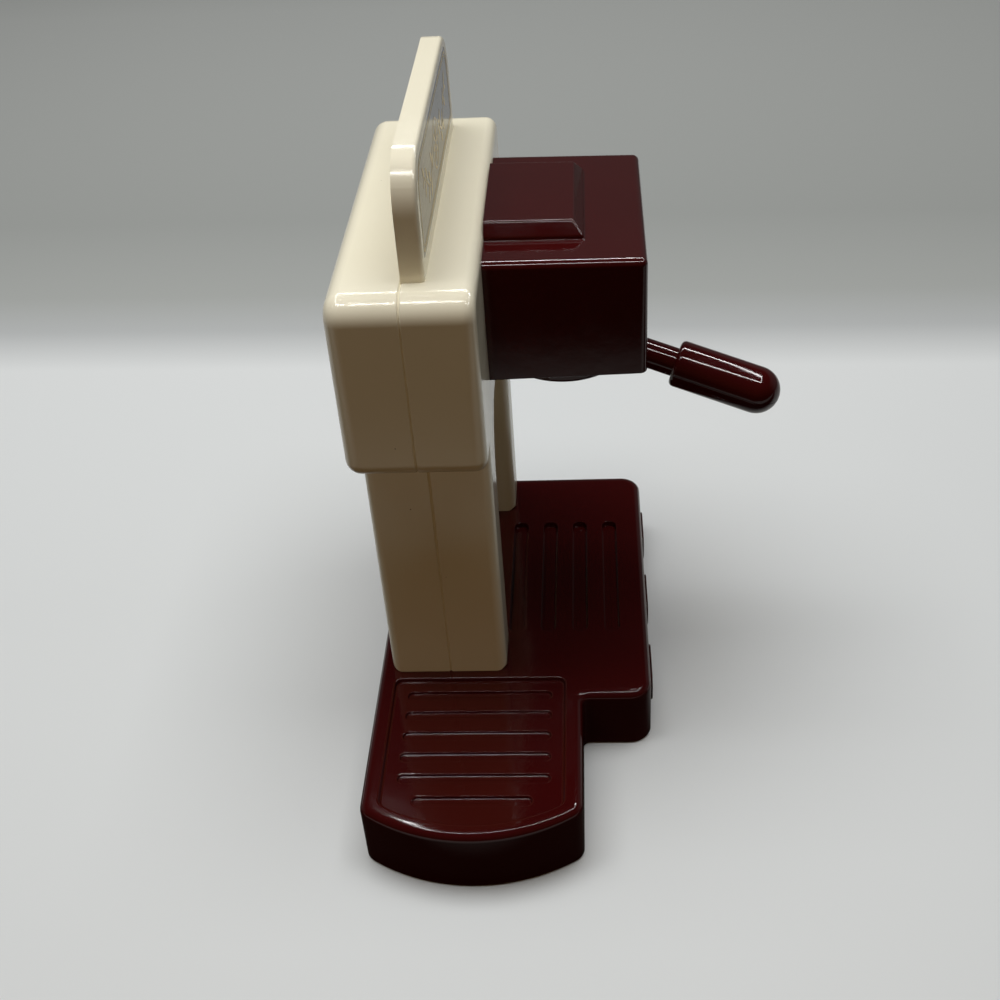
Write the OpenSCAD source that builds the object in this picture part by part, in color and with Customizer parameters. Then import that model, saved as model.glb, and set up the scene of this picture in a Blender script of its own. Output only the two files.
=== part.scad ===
// Toy coffee maker: an ivory two-post machine on a burgundy base,
// with a burgundy brew group and a portafilter that turns under it.
// Front is -Y, right is +X, up is +Z. The origin is on the floor, midway
// between the posts, in the parting plane of the two ivory shells.

/* [Base] */
// height of the base's top surface above the floor
base_h = 29; // [26:0.5:32]
// right-hand end of the base
base_right = 69; // [68:0.5:76]
// left-hand end of the base's front block
block_left = -79; // [-84:0.5:-76]
// front face of the base
base_front = -85; // [-90:0.5:-84]
// rear face of the base
base_rear = 28.5; // [28:0.5:32]
// tip of the side shelf's round end
shelf_tip = -151.4; // [-158:0.2:-148]
// radius of the side shelf's round end
shelf_r = 73; // [68:1:80]
// front side of the side shelf
shelf_front = -56.7; // [-60:0.1:-54]
// bevel round the base's top edge
base_bevel = 2.6; // [1.5:0.1:3]
// wall thickness of the base
base_wall = 2.4; // [2:0.1:3]
// depth of the side tray
tray_depth = 1.5; // [1:0.1:1.8]
// distance from one tray groove to the next
tray_pitch = 11; // [10.6:0.1:11.4]
// distance from one drip groove to the next
drip_pitch = 13.75; // [13:0.05:14]
// width of a drip groove
drip_w = 6.5; // [5:0.1:7]

/* [Posts and head] */
// width of the head
head_w = 162; // [156:1:170]
// depth of the head, both shells together
head_d = 51; // [50:0.5:54]
// underside of the head
head_bottom = 142.5; // [140:0.5:145]
// top of the head
head_top = 212.5; // [210:0.5:216]
// radius of the head's two upper end edges
crown_r = 9; // [6:0.5:12]
// radius of the head's other edges
head_r = 5; // [3.5:0.5:6]
// outer face of each post, from the middle
post_out = 65; // [63:0.5:67]
// thickness of each post
post_t = 23; // [22:0.5:26]
// depth of each post, both shells together
post_d = 49; // [46:0.5:49.5]
// radius of the posts' upright edges
post_r = 4; // [3:0.5:5]
// radius of the arch between post and head
arch_r = 24; // [16:1:28]
// wall thickness of the ivory shells
shell_wall = 2.2; // [1.8:0.1:2.6]

/* [Sign] */
// top of the sign above the floor
sign_top = 255.2; // [250:0.2:260]
// thickness of the sign
sign_t = 8.3; // [7:0.1:9]
// half length of the sign at its foot
sign_foot = 67; // [64:0.5:69]
// half length of the sign at its top
sign_head = 59.5; // [56:0.5:61]
// radius of the sign's upper corners
sign_r = 9; // [6:0.5:11]
// thickness of the label
label_t = 0.6; // [0.4:0.1:1]

/* [Brew group] */
// width of the group cover
group_w = 91; // [88:1:94]
// front face of the group cover
group_front = -83.5; // [-86:0.5:-82]
// underside of the group cover
group_bottom = 161.5; // [160:0.5:163]
// top of the group cover
group_top = 207.7; // [206:0.1:209]
// height of the raised panel on the group cover
panel_h = 4.5; // [3:0.1:4.6]
// edge radius of the group cover
group_r = 2.6; // [2:0.1:3.5]

/* [Portafilter] */
// distance of the pivot in front of the parting plane
pivot_y = -52.5; // [-54:0.1:-51]
// radius of the portafilter bowl
bowl_r = 25; // [23:0.5:26]
// underside of the bowl
bowl_bottom = 145; // [143:0.5:148]
// radius of the hub that turns in the group plate
hub_r = 6; // [5.5:0.1:6.5]
// running clearance of the hub in its bore
hub_fit = 0.06; // [0.03:0.01:0.1]
// how far the handle is turned to the left
handle_turn = 15; // [10:1:20]
// how far the handle slopes down
handle_drop = 14.5; // [12:0.5:16]
// radius of the neck
neck_r = 5.7; // [5:0.1:6]
// radius of the grip
grip_r = 9; // [8:0.1:9.5]
// start of the grip, measured from the pivot
grip_from = 47.4; // [46:0.2:50]
// end of the grip, measured from the pivot
grip_to = 89; // [86:0.5:92]

/* [Hidden] */

$fn = 72;
ivory = "#EDE7CF";
burgundy = "#5A1418";
steel = "#B9BCC0";
slip = 0.05;
hair = 0.05;
screw_r = 1.5;
screw_head_r = 2.9;
screw_head_h = 2;

shelf_cx = shelf_tip + shelf_r;
shelf_cy = (shelf_front + base_rear) / 2;
shelf_corner = 6;
plate_z = 0;
plate_t = 2.5;
skirt_z = 0.3;
top_under = base_h - base_wall;
tray_floor = base_h - tray_depth;
post_x = post_out - post_t / 2;
post_screw_y = 13;
post_screws_at = [for (x = [-post_x, post_x], y = [-post_screw_y, post_screw_y]) [x, y]];
plate_screws_at = [[-139, -14], [-104, 20.5], [-104, -48.5], [-5, -76.5], [-5, 20.5], [60.5, -30]];
shell_screws_at = [for (s = [-1, 1]) each [[s * 69, 201], [s * 69, 154], [s * post_x, 78]]];
group_screws_at = [for (s = [-1, 1]) each [[s * 40, 172], [s * 40, 198]]];
cover_posts_at = [for (s = [-1, 1]) each [[s * 40, -76], [s * 40, -46]]];
plate_top = group_bottom + 2.5;
collar_top = group_bottom + 5.5;
hub_top = collar_top + 1.6;
bowl_wall = 2.2;
bowl_rim = group_bottom - 0.3;
neck_z = 156.5;
neck_end = grip_from + 26;

// ---- plane outlines ----------------------------------------------------

// A convex outline with round corners, given the centres in counter-clockwise order.
// The corner circles stand proud by "over", which keeps them clear of tangency with slanted sides.
module round_outline(centres, r, over = 0) {
    n = len(centres);
    polygon([for (i = [0:n - 1])
        let (a = centres[i], b = centres[(i + 1) % n], d = b - a, u = [d[1], -d[0]] / norm(d))
        each [a + r * u, b + r * u]]);
    for (c = centres) translate(c) circle(r + over);
}

// A rectangle from two opposite corners, with round corners.
module round_box(x0, y0, x1, y1, r) {
    round_outline([[x0 + r, y0 + r], [x1 - r, y0 + r], [x1 - r, y1 - r], [x0 + r, y1 - r]], r);
}

// The side shelf's outline, moved inwards by i.
module shelf_outline(i, x_right) {
    rc = max(shelf_corner - i, 0.6);
    ro = shelf_r - i;
    half = (base_rear - shelf_front) / 2 - i;
    cx = -sqrt(pow(ro - rc, 2) - pow(half - rc, 2));
    translate([shelf_cx, shelf_cy]) {
        translate([cx, -half]) square([x_right - shelf_cx - cx, 2 * half]);
        for (s = [-1, 1]) translate([cx, s * (half - rc)]) circle(rc);
        intersection() {
            circle(ro, $fn = 180);
            polygon([[0, 0], [2 * cx, 2 * (half - rc)], [2 * cx, -2 * (half - rc)]]);
        }
    }
}

// A bar along X with both upper long edges bevelled by c.
module bevelled_bar(x0, x1, y0, y1, z0, z1, c) {
    translate([x0, 0, 0])
        rotate([90, 0, 90])
            linear_extrude(x1 - x0)
                polygon([[y0, z0], [y1, z0], [y1, z1 - c], [y1 - c, z1], [y0 + c, z1], [y0, z1 - c]]);
}

// A round pillar with its upper edge bevelled by c.
module bevelled_pillar(r, z0, z1, c) {
    translate([0, 0, z0]) cylinder(r = r, h = z1 - c - z0);
    translate([0, 0, z1 - c]) cylinder(r1 = r, r2 = r - c, h = c);
}

// A convex outline with round corners as a slab whose upper edge is bevelled by c.
module bevelled_outline(centres, r, z0, z1, c, over = 0) {
    n = len(centres);
    translate([0, 0, z0]) linear_extrude(z1 - z0) round_outline(centres, r - c, over);
    translate([0, 0, z0]) linear_extrude(z1 - c - z0) round_outline(centres, r, over);
    for (i = [0:n - 1]) {
        a = centres[i];
        d = centres[(i + 1) % n] - a;
        translate([a[0], a[1], z1 - c]) {
            rotate([0, 0, atan2(d[1], d[0])]) rotate([90, 0, 90])
                linear_extrude(norm(d)) polygon([[0, 0], [-r, 0], [c - r, c], [0, c]]);
            cylinder(r1 = r + over, r2 = r + over - c, h = c);
        }
    }
}

// The side shelf as a solid with a bevelled top edge.
module bevelled_shelf(z0, z1, c) {
    half = (base_rear - shelf_front) / 2;
    rc = shelf_corner;
    cx = -sqrt(pow(shelf_r - rc, 2) - pow(half - rc, 2));
    bevelled_bar(shelf_cx + cx, block_left + 20, shelf_front, base_rear, z0, z1, c);
    for (s = [-1, 1]) translate([shelf_cx + cx, shelf_cy + s * (half - rc), 0])
        bevelled_pillar(rc, z0, z1, c);
    translate([shelf_cx, shelf_cy, 0])
        intersection() {
            bevelled_pillar(shelf_r, z0, z1, c, $fn = 180);
            translate([0, 0, z0])
                linear_extrude(z1 - z0)
                    polygon([[0, 0], [2 * cx, 2 * (half - rc)], [2 * cx, -2 * (half - rc)]]);
        }
}

// ---- shared fittings ---------------------------------------------------

// A pan-head self-tapping screw along Z, head up, its seat at z = 0.
module screw(shank) {
    cylinder(r = screw_head_r, h = screw_head_h - 0.6);
    translate([0, 0, screw_head_h - 0.6]) cylinder(r1 = screw_head_r, r2 = screw_head_r - 0.6, h = 0.6);
    translate([0, 0, 1.2 - shank]) cylinder(r = screw_r, h = shank - 1.2);
    translate([0, 0, -shank]) cylinder(r1 = 0.5, r2 = screw_r, h = 1.2);
}

// The slot cut into a screw head that sits at z = 0.
module cross_slot() {
    for (a = [0, 90]) rotate([0, 0, a])
        translate([-1.7, -0.4, 0.9]) cube([3.4, 0.8, screw_head_h]);
}

module slotted_screw(shank) {
    difference() {
        screw(shank);
        cross_slot();
    }
}

// A flat-head screw along Z for the two cover plates, its seat at z = 0.
module low_screw() {
    difference() {
        union() {
            cylinder(r = screw_head_r, h = 1);
            translate([0, 0, -10]) cylinder(r = screw_r, h = 10);
        }
        for (a = [0, 90]) rotate([0, 0, a])
            translate([-1.7, -0.4, 0.4]) cube([3.4, 0.8, 2]);
    }
}

// A round-ended groove, centred, long side along X.
module groove(length, width, depth) {
    linear_extrude(depth)
        round_box(-length / 2, -width / 2, length / 2, width / 2, width / 2 - 0.01);
}

// ---- base --------------------------------------------------------------

module base_outside() {
    bevelled_outline([[block_left + 9, base_front + 9], [base_right - 9, base_front + 9],
        [base_right - 9, base_rear - 9], [block_left + 9, base_rear - 9]], 9, skirt_z, base_h, base_bevel);
    bevelled_shelf(skirt_z, base_h, base_bevel);
}

module base_inside(i, z0, z1) {
    translate([0, 0, z0])
        linear_extrude(z1 - z0) {
            round_box(block_left + i, base_front + i, base_right - i, base_rear - i, 9 - i);
            shelf_outline(i, block_left + 20);
        }
}

// Outline of the side tray, moved outwards by o.
module tray_outline(o) {
    intersection() {
        round_box(-170, shelf_front + 7.3 - o, -69.4 + o, base_rear - 7.3 + o, 3 + o);
        translate([shelf_cx, shelf_cy]) circle(shelf_r - 6.4 + o, $fn = 180);
    }
}

module tray_grooves() {
    for (i = [0:5])
        translate([-77.5 - i * tray_pitch, -14.3, tray_floor - 1.2])
            rotate([0, 0, 90])
                groove(i < 5 ? 59.5 : 46, 4.4, 3);
}

module drip_grooves() {
    for (i = [0:3])
        translate([-4, -28.4 - i * drip_pitch, base_h - 2.2])
            groove(75, drip_w, 4);
}

// Raised pads on the front of the base.
module front_pads() {
    for (x = [-52, -6, 40])
        translate([x, base_front + 0.5, 14.5])
            rotate([90, 0, 0])
                linear_extrude(1.6)
                    round_box(-13, -6.5, 13, 6.5, 5);
}

module base_shell() {
    color(burgundy)
    difference() {
        union() {
            difference() {
                base_outside();
                base_inside(base_wall, -1, top_under);
            }
            front_pads();
            translate([0, 0, tray_floor - 3])
                linear_extrude(2) tray_outline(1.5);
            translate([-4, -28.4 - 1.5 * drip_pitch, base_h - 4])
                linear_extrude(3) square([80, 3 * drip_pitch + 10], center = true);
            for (p = plate_screws_at)
                translate([p[0], p[1], plate_z + plate_t]) cylinder(r = 3.6, h = top_under - plate_z - plate_t);
            for (p = post_screws_at)
                translate([p[0], p[1], 19]) cylinder(r = 5, h = 9);
        }
        translate([0, 0, tray_floor]) linear_extrude(5) tray_outline(0);
        tray_grooves();
        drip_grooves();
        for (p = plate_screws_at)
            translate([p[0], p[1], 0]) cylinder(r = screw_r + slip, h = 16);
        for (p = post_screws_at) {
            translate([p[0], p[1], 0]) cylinder(r = 1.8, h = 40);
            translate([p[0], p[1], 0]) cylinder(r = 3.3, h = 22);
        }
    }
}

module base_plate() {
    color(burgundy)
    difference() {
        base_inside(base_wall + 0.2, plate_z, plate_z + plate_t);
        for (p = plate_screws_at)
            translate([p[0], p[1], -1]) {
                cylinder(r = 1.8, h = 10);
                cylinder(r = 3.2, h = plate_z + 2.1);
            }
    }
}

module base_screws() {
    color(steel)
    for (p = plate_screws_at)
        translate([p[0], p[1], plate_z + 1.1]) mirror([0, 0, 1]) low_screw();
}

module post_screws() {
    color(steel)
    for (p = post_screws_at)
        translate([p[0], p[1], 22]) mirror([0, 0, 1]) slotted_screw(18);
}

// ---- ivory shells ------------------------------------------------------

// The head, moved inwards by i, as a solid whose edges are all round.
module head_solid(i) {
    hw = head_w / 2 - i;
    hd = head_d / 2 - i;
    zb = head_bottom + i;
    zt = head_top - i;
    rt = crown_r - i;
    rr = head_r - i;
    intersection() {
        rotate([90, 0, 0])
            linear_extrude(2 * head_d, center = true) round_box(-hw, zb, hw, zt, rr);
        rotate([90, 0, 0])
            linear_extrude(2 * head_d, center = true)
                round_outline([[-hw + rt, zb - 40], [hw - rt, zb - 40], [hw - rt, zt - rt], [-hw + rt, zt - rt]], rt);
        translate([-head_w, 0, 0]) rotate([90, 0, 90])
            linear_extrude(2 * head_w) round_box(-hd, zb, hd, zt, rr);
        linear_extrude(2 * head_top) round_box(-hw, -hd, hw, hd, rr);
    }
}

// One post, moved inwards by i, with its round upright edges.
module post_solid(s, i, z0) {
    translate([0, 0, z0])
        linear_extrude(head_bottom + 12 - z0)
            round_box(s * post_x - post_t / 2 + i, -post_d / 2 + i,
                s * post_x + post_t / 2 - i, post_d / 2 - i, post_r - i);
}

// The arch that fills the corner between a post and the head.
module arch_solid(s, i) {
    inner = post_out - post_t;
    mirror([s < 0 ? 1 : 0, 0, 0])
        rotate([90, 0, 0])
            linear_extrude(post_d - 2 * i, center = true)
                difference() {
                    translate([inner - arch_r, head_bottom - arch_r - i])
                        square([arch_r + 6, arch_r + 6 + 2 * i]);
                    translate([inner - arch_r, head_bottom - arch_r]) circle(arch_r + i);
                }
}

module body_outside() {
    head_solid(0);
    for (s = [-1, 1]) {
        post_solid(s, 0, base_h);
        arch_solid(s, 0);
    }
}

module body_inside() {
    head_solid(shell_wall);
    for (s = [-1, 1]) {
        post_solid(s, shell_wall, base_h + shell_wall + 0.4);
        arch_solid(s, shell_wall);
    }
}

// Everything in front of the parting plane, or behind it.
module half_space(front) {
    translate([-200, front ? -200 : 0, 0]) cube([400, 200, 400]);
}

// Half width of a tapering plate at height z, given its half widths at two heights.
function half_at(z, foot, top, z_top) = top + (foot - top) * (z_top - z) / (z_top - head_top);

// Corner centres of a tapering plate in the XZ plane, moved inwards by i.
function taper(i, z0, foot, top, z_top, r) =
    let (slope = (foot - top) / (z_top - head_top), in = (i + r) * sqrt(1 + slope * slope),
        zc = z_top - i - r, a = half_at(z0 + r, foot, top, z_top) - in,
        b = half_at(zc, foot, top, z_top) - in)
    [[-a, z0 + r], [a, z0 + r], [b, zc], [-b, zc]];

// The sign's slab, its front face recessed for the label.
module sign_solid() {
    rotate([90, 0, 0])
        difference() {
            bevelled_outline(taper(0, head_top - 20, sign_foot, sign_head, sign_top, sign_r),
                sign_r, 0, sign_t, 1.6, hair);
            translate([-100, head_top - 42, -1]) cube([200, 40, 20]);
            translate([0, 0, sign_t - label_t]) linear_extrude(3) label_outline(0);
        }
}

// The pockets that core the sign out from behind, with ribs between them.
module sign_pockets() {
    rotate([90, 0, 0])
        linear_extrude(sign_t - 3)
            difference() {
                round_outline(taper(2.4, head_top + 2.5, sign_foot, sign_head, sign_top, 3), 3, hair);
                for (x = [-40, -20, 0, 20, 40]) translate([x - 0.8, head_top]) square([1.6, 60]);
            }
}

module label_outline(i) {
    round_outline(taper(i, head_top + 5 + i, 62.2, 52.8, sign_top - 3.8, 3), 3, hair);
}

module front_shell() {
    color(ivory)
    difference() {
        union() {
            difference() {
                intersection() {
                    body_outside();
                    half_space(true);
                }
                body_inside();
            }
            sign_solid();
            for (p = shell_screws_at)
                translate([p[0], 0, p[1]]) rotate([90, 0, 0]) cylinder(r = 4, h = head_d / 2 - 1.6);
            for (p = post_screws_at) if (p[1] < 0)
                translate([p[0], p[1], base_h + 1]) cylinder(r = 4, h = 16);
        }
        sign_pockets();
        for (p = shell_screws_at)
            translate([p[0], 1, p[1]]) rotate([90, 0, 0]) cylinder(r = screw_r + slip, h = 15);
        for (p = post_screws_at) if (p[1] < 0)
            translate([p[0], p[1], base_h - 1]) cylinder(r = screw_r + slip, h = 14);
        for (p = group_screws_at)
            translate([p[0], 0, p[1]]) rotate([90, 0, 0]) cylinder(r = 1.8, h = 40);
    }
}

module rear_shell() {
    color(ivory)
    difference() {
        union() {
            difference() {
                intersection() {
                    body_outside();
                    half_space(false);
                }
                body_inside();
            }
            for (p = shell_screws_at)
                translate([p[0], head_d / 2 - 1.6, p[1]]) rotate([90, 0, 0]) cylinder(r = 4.8, h = head_d / 2 - 1.6);
            for (p = post_screws_at) if (p[1] > 0)
                translate([p[0], p[1], base_h + 1]) cylinder(r = 4, h = 16);
        }
        for (p = shell_screws_at) {
            translate([p[0], 30, p[1]]) rotate([90, 0, 0]) cylinder(r = 1.8, h = 40);
            translate([p[0], 30, p[1]]) rotate([90, 0, 0]) cylinder(r = 3.4, h = 22);
        }
        for (p = post_screws_at) if (p[1] > 0)
            translate([p[0], p[1], base_h - 1]) cylinder(r = screw_r + slip, h = 14);
    }
}

module shell_screws() {
    color(steel)
    for (p = shell_screws_at)
        translate([p[0], 8, p[1]]) rotate([-90, 0, 0]) slotted_screw(20);
}

module sign_label() {
    color("#7A6E58")
    translate([0, -sign_t + label_t, 0])
        rotate([90, 0, 0]) linear_extrude(label_t) label_outline(0.1);
}

// ---- brew group --------------------------------------------------------

// The cover's box, moved inwards by i.
module group_box(i, z0, y1) {
    hw = group_w / 2 - i;
    yf = group_front + i;
    zt = group_top - i;
    rr = max(group_r - i, 0.6);
    intersection() {
        translate([0, 0, z0]) linear_extrude(zt - z0) round_box(-hw, yf, hw, 0, rr);
        rotate([90, 0, 0]) linear_extrude(200, center = true) round_box(-hw, z0 - 20, hw, zt, rr);
        translate([-100, 0, 0]) rotate([90, 0, 90]) linear_extrude(200) round_box(yf, z0 - 20, 20, zt, rr);
        translate([-100, -100, z0]) cube([200, 100 + y1, 100]);
    }
}

// The raised panel: its left, right and front sides slope at 45 degrees above a low upright lip.
module group_panel() {
    half = 28.4;
    y_foot = -61.4;
    lip = 0.8;
    h = panel_h;
    s = h - lip;
    intersection() {
        rotate([90, 0, 0])
            linear_extrude(120, center = true)
                polygon([[-half, group_top - 1], [half, group_top - 1], [half, group_top + lip],
                    [half - s, group_top + h], [-half + s, group_top + h], [-half, group_top + lip]]);
        translate([-60, 0, 0]) rotate([90, 0, 90])
            linear_extrude(120)
                polygon([[y_foot, group_top - 1], [-head_d / 2, group_top - 1], [-head_d / 2, group_top + h],
                    [y_foot + s, group_top + h], [y_foot, group_top + lip]]);
    }
}

module group_cover() {
    color(burgundy)
    difference() {
        union() {
            difference() {
                group_box(0, group_bottom, -head_d / 2);
                group_box(2.2, group_bottom - 5, 0);
            }
            group_panel();
            for (p = group_screws_at)
                translate([p[0], -head_d / 2, p[1]]) rotate([90, 0, 0]) cylinder(r = 3.6, h = 14);
            for (p = cover_posts_at)
                translate([p[0], p[1], plate_top]) cylinder(r = 3.6, h = group_top - plate_top - 2);
        }
        for (p = group_screws_at)
            translate([p[0], 0, p[1]]) rotate([90, 0, 0]) cylinder(r = screw_r + slip, h = head_d / 2 + 12.5);
        for (p = cover_posts_at)
            translate([p[0], p[1], group_bottom - 1]) cylinder(r = screw_r + slip, h = 15);
    }
}

module group_plate() {
    color(burgundy)
    difference() {
        union() {
            translate([0, 0, group_bottom])
                linear_extrude(plate_top - group_bottom)
                    round_box(-group_w / 2 + 2.4, group_front + 2.4, group_w / 2 - 2.4, -head_d / 2 - 0.2, 0.8);
            translate([0, pivot_y, group_bottom]) cylinder(r = 10, h = collar_top - group_bottom);
            translate([0, pivot_y + 17, bowl_rim - 7]) cylinder(r = 2, h = 8);
        }
        translate([0, pivot_y, group_bottom - 10]) cylinder(r = hub_r + hub_fit, h = 30);
        for (p = cover_posts_at)
            translate([p[0], p[1], group_bottom - 1]) {
                cylinder(r = 1.8, h = 10);
                cylinder(r = 3.2, h = 1 + 1.2);
            }
    }
}

module group_screws() {
    color(steel)
    for (p = group_screws_at)
        translate([p[0], -head_d / 2 + shell_wall, p[1]]) rotate([-90, 0, 0]) slotted_screw(13);
}

module group_plate_screws() {
    color(steel)
    for (p = cover_posts_at)
        translate([p[0], p[1], group_bottom + 1.2]) mirror([0, 0, 1]) low_screw();
}

// ---- portafilter -------------------------------------------------------

// Places its children on the handle's axis, with Z pointing outwards.
module on_handle() {
    translate([0, pivot_y, neck_z]) rotate([90 + handle_drop, 0, -handle_turn]) children();
}

module bowl_solid() {
    translate([0, pivot_y, 0])
        rotate_extrude($fn = 120)
            union() {
                translate([0, bowl_bottom + 1.6]) square([bowl_r, bowl_rim - bowl_bottom - 1.6]);
                translate([0, bowl_bottom]) square([bowl_r - 1.6, 4]);
                translate([bowl_r - 1.6, bowl_bottom + 1.6]) circle(1.6);
            }
}

module bowl_cavity() {
    translate([0, pivot_y, bowl_bottom + bowl_wall])
        difference() {
            cylinder(r = bowl_r - bowl_wall, h = 30, $fn = 120);
            translate([0, 0, -1]) cylinder(r = hub_r + 2.5, h = 40);
        }
}

module portafilter_body() {
    color(burgundy)
    difference() {
        union() {
            difference() {
                union() {
                    bowl_solid();
                    on_handle() translate([0, 0, 23.4]) cylinder(r = neck_r, h = neck_end - 23.4);
                }
                bowl_cavity();
            }
            translate([0, pivot_y, bowl_bottom + 1]) cylinder(r = hub_r, h = hub_top - bowl_bottom - 1);
            translate([0, pivot_y, bowl_bottom + 1]) cylinder(r = hub_r + 2.5, h = bowl_rim - bowl_bottom - 1);
            for (a = [42, -27])
                translate([0, pivot_y, bowl_bottom + 1]) rotate([0, 0, a])
                    translate([-1, hub_r + 1, 0]) cube([2, bowl_r - hub_r - 2, bowl_rim - bowl_bottom - 3]);
        }
        translate([0, pivot_y, hub_top - 13]) cylinder(r = screw_r + slip, h = 20);
    }
}

// One half of the grip on the handle's axis, above or below its parting plane.
module grip_half(side) {
    on_handle()
        intersection() {
            difference() {
                union() {
                    translate([0, 0, grip_from + 2]) cylinder(r = grip_r, h = grip_to - grip_r - grip_from - 2);
                    translate([0, 0, grip_to - grip_r]) sphere(grip_r);
                    rotate_extrude()
                        union() {
                            translate([0, grip_from]) square([grip_r - 2, 4]);
                            translate([grip_r - 2, grip_from + 2]) circle(2);
                        }
                }
                translate([0, 0, grip_from - 1]) cylinder(r = neck_r + slip, h = neck_end - grip_from + 1.5);
            }
            translate([-20, side > 0 ? 0 : -40, 0]) cube([40, 40, 200]);
        }
}

module grip_upper() {
    color(burgundy) grip_half(1);
}

module grip_lower() {
    color(burgundy) grip_half(-1);
}

module spring_washer() {
    color(steel)
    translate([0, pivot_y, collar_top + 0.3])
        difference() {
            cylinder(r = 9, h = 1);
            translate([0, 0, -1]) cylinder(r = hub_r + 0.4, h = 3);
        }
}

module pivot_washer() {
    color(steel)
    translate([0, pivot_y, hub_top])
        difference() {
            cylinder(r = 9.5, h = 1.2);
            translate([0, 0, -1]) cylinder(r = 1.8, h = 3);
        }
}

module pivot_screw() {
    color(steel)
    translate([0, pivot_y, hub_top + 1.2]) slotted_screw(12);
}

base_shell();
base_plate();
base_screws();
post_screws();
front_shell();
rear_shell();
shell_screws();
sign_label();
group_cover();
group_plate();
group_screws();
group_plate_screws();
portafilter_body();
grip_upper();
grip_lower();
spring_washer();
pivot_washer();
pivot_screw();
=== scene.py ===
"""Looks of a toy coffee maker: two ivory shells on a burgundy base, built round its fixed frame.

Lengths are in millimetres and become metres where points are made; those of the studio are in metres.
"""

import logging
import math
from collections.abc import Iterable, Sequence
from dataclasses import dataclass
from enum import Enum

import bmesh
import bpy
from bmesh.types import BMEdge, BMesh, BMFace, BMVert
from mathutils import Matrix, Vector


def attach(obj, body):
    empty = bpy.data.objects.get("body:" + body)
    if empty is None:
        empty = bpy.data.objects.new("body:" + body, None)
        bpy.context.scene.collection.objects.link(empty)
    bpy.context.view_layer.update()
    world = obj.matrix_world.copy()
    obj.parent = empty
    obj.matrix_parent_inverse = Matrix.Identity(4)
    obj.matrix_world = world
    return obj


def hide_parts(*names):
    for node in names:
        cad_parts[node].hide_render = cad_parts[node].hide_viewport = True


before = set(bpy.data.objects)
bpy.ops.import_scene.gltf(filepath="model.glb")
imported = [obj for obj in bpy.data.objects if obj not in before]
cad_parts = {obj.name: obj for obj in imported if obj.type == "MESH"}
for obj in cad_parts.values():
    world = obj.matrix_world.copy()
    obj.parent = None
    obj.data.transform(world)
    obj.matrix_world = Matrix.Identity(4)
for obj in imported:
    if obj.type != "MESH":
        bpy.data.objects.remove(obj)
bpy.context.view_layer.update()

LOG = logging.getLogger("toy_coffee_maker")
MM = 0.001

# Sockets of a Mix node that mixes colours: share, first colour, second colour, and the result.
SHARE, FIRST, SECOND, MIXED = 0, 6, 7, 2

# Points of an outline and of a turned piece that are nearer than this become one, and shorter edges
# of a finished piece go, all in millimetres.
OUTLINE_WELD, LATHE_WELD, SPLINTER = 0.002, 0.001, 0.0005

# How far a straight piece may run inside its arc, in millimetres: on rims that show, on small outlines
# and on profiles that are turned.
RIM_SAG, SMALL_SAG, LATHE_SAG = 0.012, 0.03, 0.02

# How far a point may be off a plane and still count as on it, in metres, and the same for the housing's cut.
ON_PLANE, ON_CUT = 1e-6, 1e-7


# ---- named choices ---------------------------------------------------------


class Body(Enum):
    """The frame's bodies."""

    MACHINE = "machine"
    PORTAFILTER = "portafilter"


class Slot(Enum):
    """The record's material slots."""

    IVORY = "ivory_plastic"
    BURGUNDY = "burgundy_plastic"
    LABEL = "label"


class Facing(Enum):
    """Where an outline's own up direction points once a piece is in place."""

    FRONT = Matrix(((1, 0, 0, 0), (0, 0, -1, 0), (0, 1, 0, 0), (0, 0, 0, 1)))
    REAR = Matrix(((1, 0, 0, 0), (0, 0, 1, 0), (0, 1, 0, 0), (0, 0, 0, 1)))


# ---- colours and nodes -----------------------------------------------------


def linear(colour: str) -> tuple[float, float, float, float]:
    """Turns an sRGB hex colour to linear light.

    Args:
        colour: Six hex digits after a hash.

    Returns:
        Red, green, blue and an alpha of 1.
    """
    parts = [int(colour[i : i + 2], 16) / 255 for i in (1, 3, 5)]
    return (*(c / 12.92 if c <= 0.04045 else ((c + 0.055) / 1.055) ** 2.4 for c in parts), 1.0)


def add_node(tree: bpy.types.NodeTree, kind: str, inputs: dict | None = None,
             stops: Sequence[tuple[float, str]] = (), **settings) -> bpy.types.Node:
    """Adds one node with its settings, socket values, links and colour stops.

    Args:
        tree: The tree that gets the node.
        kind: The node's type, without the leading word ShaderNode.
        inputs: A value, a hex colour or an output socket for each input, by name or number.
        stops: Position and colour of each stop of its ramp, in order.
        **settings: The node's own properties.

    Returns:
        The new node.
    """
    node = tree.nodes.new("ShaderNode" + kind)
    for name, value in settings.items():
        setattr(node, name, value)
    for name, value in (inputs or {}).items():
        if isinstance(value, bpy.types.NodeSocket):
            tree.links.new(value, node.inputs[name])
        else:
            node.inputs[name].default_value = linear(value) if isinstance(value, str) else value
    for i, (position, colour) in enumerate(stops):
        ramp = node.color_ramp.elements
        stop = ramp[i] if i < len(ramp) else ramp.new(position)
        stop.position, stop.color = position, linear(colour)
    return node


def blank_material(name: str) -> tuple[bpy.types.Material, bpy.types.NodeTree]:
    """Makes an empty node material.

    Args:
        name: The material's name.

    Returns:
        The material and its node tree.
    """
    material = bpy.data.materials.new(name)
    material.use_nodes = True
    material.node_tree.nodes.clear()
    return material, material.node_tree


# ---- finishes --------------------------------------------------------------


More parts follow.
